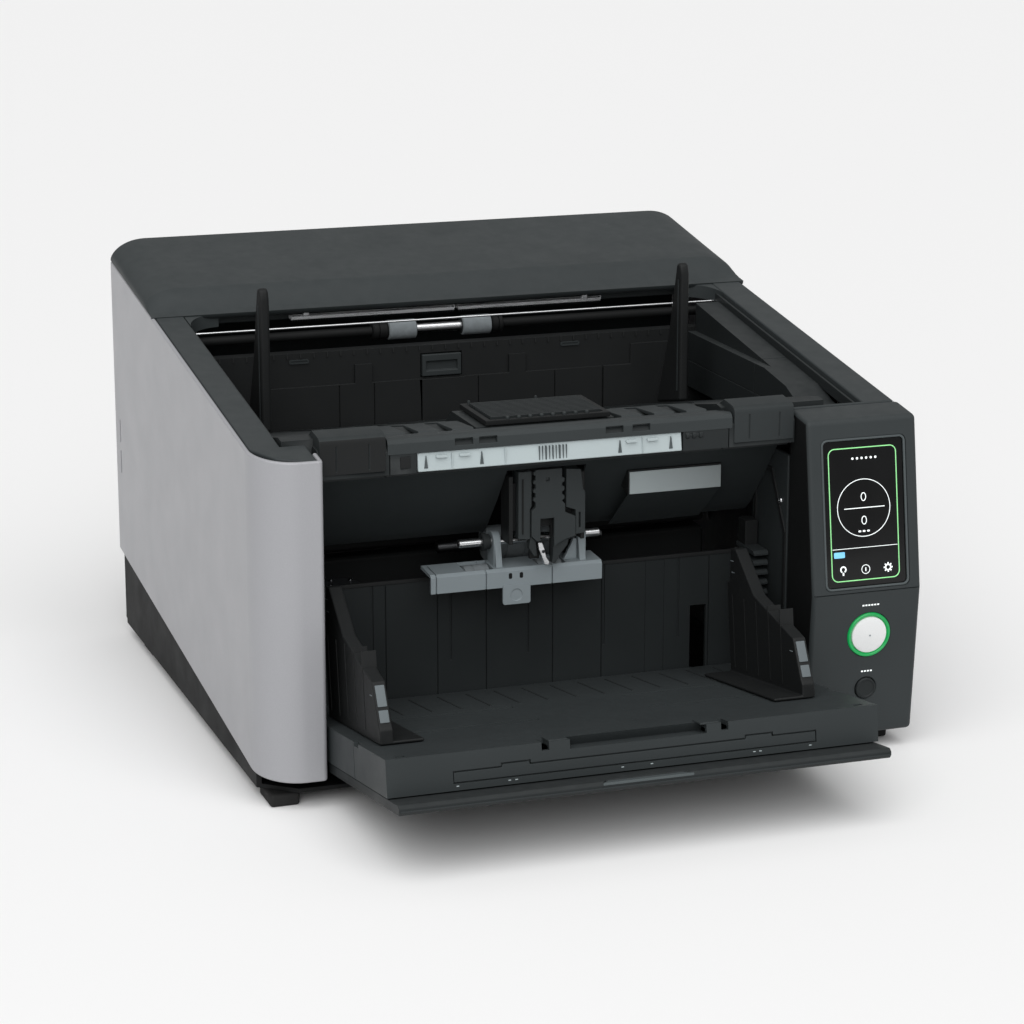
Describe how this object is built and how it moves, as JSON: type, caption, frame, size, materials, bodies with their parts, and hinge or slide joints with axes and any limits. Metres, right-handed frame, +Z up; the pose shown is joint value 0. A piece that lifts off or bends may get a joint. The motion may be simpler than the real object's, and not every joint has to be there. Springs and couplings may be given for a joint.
{
  "type": "sheet fed document scanner",
  "caption": "Desktop document scanner: lifting hopper with side guides, pick section, stacker well under a hinged rear hood, and an upright operator panel.",
  "frame": {"origin": "centre of the object's box, on the surface that the feet stand on", "axes": "+Z up, -Y is the front with the hopper, +X is the operator's right"},
  "size_m": [0.46, 0.5818, 0.31],
  "materials": {
    "silver_cover": "satin",
    "charcoal_plastic": "fine texture",
    "black_plastic": "fine texture",
    "slate_plastic": "satin",
    "pale_plastic": "satin",
    "foot_rubber": "matte",
    "roller_rubber": "matte",
    "black_roller": "matte",
    "steel": "brushed",
    "motor_case": "semi gloss",
    "screen_glass": "gloss",
    "button_silver": "satin",
    "ring_light": "gloss",
    "circuit_board": "satin"
  },
  "bodies": {
    "chassis": {"base_pan": "black_plastic", "foot_front_left": "foot_rubber", "foot_front_right": "foot_rubber", "foot_rear_left": "foot_rubber", "foot_rear_right": "foot_rubber", "left_cover": "silver_cover", "right_cover": "silver_cover", "rear_cover": "charcoal_plastic", "operator_housing": "charcoal_plastic", "touch_screen": "screen_glass", "start_button_ring": "ring_light", "top_rim": "charcoal_plastic", "well_rear_wall": "black_plastic", "well_side_right": "charcoal_plastic", "guide_rod": "steel", "bay_panel_left": "black_plastic", "bay_panel_right": "charcoal_plastic", "hopper_back_wall": "charcoal_plastic", "throat_cover": "black_plastic", "blank_plate": "pale_plastic", "pick_shaft": "steel", "pick_bracket": "charcoal_plastic", "frame_left": "steel", "frame_right": "steel", "drive_motor": "motor_case", "drive_belt": "black_roller", "image_sensor_upper": "black_plastic", "image_sensor_lower": "black_plastic", "lift_motor": "motor_case", "power_inlet": "black_plastic", "usb_port": "steel", "network_port": "steel", "fan_frame": "black_plastic", "main_board": "circuit_board", "power_supply": "steel"},
    "hood": {"hood": "charcoal_plastic", "static_bars": "steel"},
    "stacker": {"stacker_tray": "charcoal_plastic"},
    "stacker_extension": {"stacker_extension": "pale_plastic"},
    "stacker_stopper": {"stacker_stopper": "black_plastic"},
    "stacker_fin_left": {"stacker_fin_left": "black_plastic"},
    "stacker_fin_right": {"stacker_fin_right": "black_plastic"},
    "hopper": {"hopper_tray": "charcoal_plastic"},
    "hopper_extension": {"hopper_extension": "charcoal_plastic"},
    "hopper_guide_left": {"hopper_guide_left": "black_plastic"},
    "hopper_guide_right": {"hopper_guide_right": "black_plastic"},
    "lift_screw": {"lift_screw": "steel"},
    "pick_arm": {"pick_arm": "slate_plastic"},
    "pick_roller": {"pick_roller": "roller_rubber"},
    "feed_roller": {"feed_roller": "roller_rubber"},
    "separator_roller": {"separator_roller": "roller_rubber"},
    "turn_roller": {"turn_roller": "black_roller"},
    "motor_pulley": {"motor_pulley": "steel"},
    "eject_shaft": {"eject_shaft": "steel", "eject_roller_left": "roller_rubber", "eject_roller_right": "roller_rubber"},
    "fan_rotor": {"fan_rotor": "black_plastic"},
    "start_button": {"start_button": "button_silver"},
    "power_button": {"power_button": "black_plastic"},
    "release_tab": {"release_tab": "charcoal_plastic"}
  },
  "joints": [
    {"name": "hood_hinge", "type": "hinge", "parent": "chassis", "child": "hood", "pos_m": [0, 0.28692, 0.297], "axis": [-1, 0, 0], "range_deg": [0, 60]},
    {"name": "stacker_lift", "type": "hinge", "parent": "chassis", "child": "stacker", "pos_m": [0, 0.12592, 0.19], "axis": [-1, 0, 0], "range_deg": [0, 20]},
    {"name": "stacker_extension_slide", "type": "slide", "parent": "stacker", "child": "stacker_extension", "axis": [0, -1, 0], "range_m": [0, 0.05]},
    {"name": "stacker_stopper_flip", "type": "hinge", "parent": "stacker", "child": "stacker_stopper", "pos_m": [0, -0.09908, 0.237], "axis": [1, 0, 0], "range_deg": [0, 80]},
    {"name": "stacker_fin_left_slide", "type": "slide", "parent": "stacker", "child": "stacker_fin_left", "axis": [1, 0, 0], "range_m": [-0.018, 0.1]},
    {"name": "stacker_fin_right_slide", "type": "slide", "parent": "stacker", "child": "stacker_fin_right", "axis": [1, 0, 0], "range_m": [-0.1, 0.018]},
    {"name": "hopper_lift", "type": "slide", "parent": "chassis", "child": "hopper", "axis": [0, 0, 1], "range_m": [0, 0.05]},
    {"name": "hopper_extension_slide", "type": "slide", "parent": "hopper", "child": "hopper_extension", "axis": [0, -0.9886, 0.1503], "range_m": [0, 0.08]},
    {"name": "hopper_guide_left_slide", "type": "slide", "parent": "hopper", "child": "hopper_guide_left", "axis": [1, 0, 0], "range_m": [-0.009, 0.1]},
    {"name": "hopper_guide_right_slide", "type": "slide", "parent": "hopper", "child": "hopper_guide_right", "axis": [1, 0, 0], "range_m": [-0.1, 0.009]},
    {"name": "lift_screw_spin", "type": "hinge", "parent": "chassis", "child": "lift_screw", "pos_m": [-0.146, -0.04308, 0], "axis": [0, 0, 1], "range_deg": [-30, 1840]},
    {"name": "pick_arm_swing", "type": "hinge", "parent": "chassis", "child": "pick_arm", "pos_m": [0, -0.07408, 0.151], "axis": [1, 0, 0], "range_deg": [-3, 5]},
    {"name": "pick_roller_spin", "type": "hinge", "parent": "pick_arm", "child": "pick_roller", "pos_m": [0, -0.07608, 0.1275], "axis": [1, 0, 0], "continuous": true},
    {"name": "feed_roller_spin", "type": "hinge", "parent": "chassis", "child": "feed_roller", "pos_m": [0, -0.03808, 0.1398], "axis": [1, 0, 0], "continuous": true},
    {"name": "separator_roller_spin", "type": "hinge", "parent": "chassis", "child": "separator_roller", "pos_m": [0, -0.03808, 0.1172], "axis": [1, 0, 0], "continuous": true},
    {"name": "turn_roller_spin", "type": "hinge", "parent": "chassis", "child": "turn_roller", "pos_m": [0, 0.21092, 0.122], "axis": [1, 0, 0], "continuous": true},
    {"name": "motor_pulley_spin", "type": "hinge", "parent": "chassis", "child": "motor_pulley", "pos_m": [0, 0.09692, 0.05], "axis": [1, 0, 0], "continuous": true},
    {"name": "eject_spin", "type": "hinge", "parent": "chassis", "child": "eject_shaft", "pos_m": [0, 0.15392, 0.254], "axis": [1, 0, 0], "continuous": true},
    {"name": "fan_spin", "type": "hinge", "parent": "chassis", "child": "fan_rotor", "pos_m": [0.1, 0.27942, 0.117], "axis": [0, 1, 0], "continuous": true},
    {"name": "start_button_press", "type": "slide", "parent": "chassis", "child": "start_button", "axis": [0, 0.9971, 0.0767], "range_m": [0, 0.0012], "stiffness_N_per_m": 600, "springref_m": -0.001},
    {"name": "power_button_press", "type": "slide", "parent": "chassis", "child": "power_button", "axis": [0, 0.9971, 0.0767], "range_m": [0, 0.0012], "stiffness_N_per_m": 500, "springref_m": -0.001},
    {"name": "release_tab_pull", "type": "hinge", "parent": "chassis", "child": "release_tab", "pos_m": [0, 0.13392, 0.236], "axis": [-1, 0, 0], "range_deg": [0, 18], "stiffness_Nm_per_rad": 0.05, "springref_deg": -5.73}
  ],
  "couplings": [
    {"joint": "stacker_fin_right_slide", "follows": "stacker_fin_left_slide", "ratio": -1},
    {"joint": "hopper_guide_right_slide", "follows": "hopper_guide_left_slide", "ratio": -1},
    {"joint": "lift_screw_spin", "follows": "hopper_lift", "rad_per_m": 628.32},
    {"joint": "motor_pulley_spin", "follows": "turn_roller_spin", "ratio": 2},
    {"joint": "feed_roller_spin", "follows": "turn_roller_spin", "ratio": 2.3333},
    {"joint": "separator_roller_spin", "follows": "turn_roller_spin", "ratio": -2.8},
    {"joint": "pick_roller_spin", "follows": "turn_roller_spin", "ratio": 3.2941},
    {"joint": "eject_spin", "follows": "turn_roller_spin", "ratio": -3.8889}
  ]
}
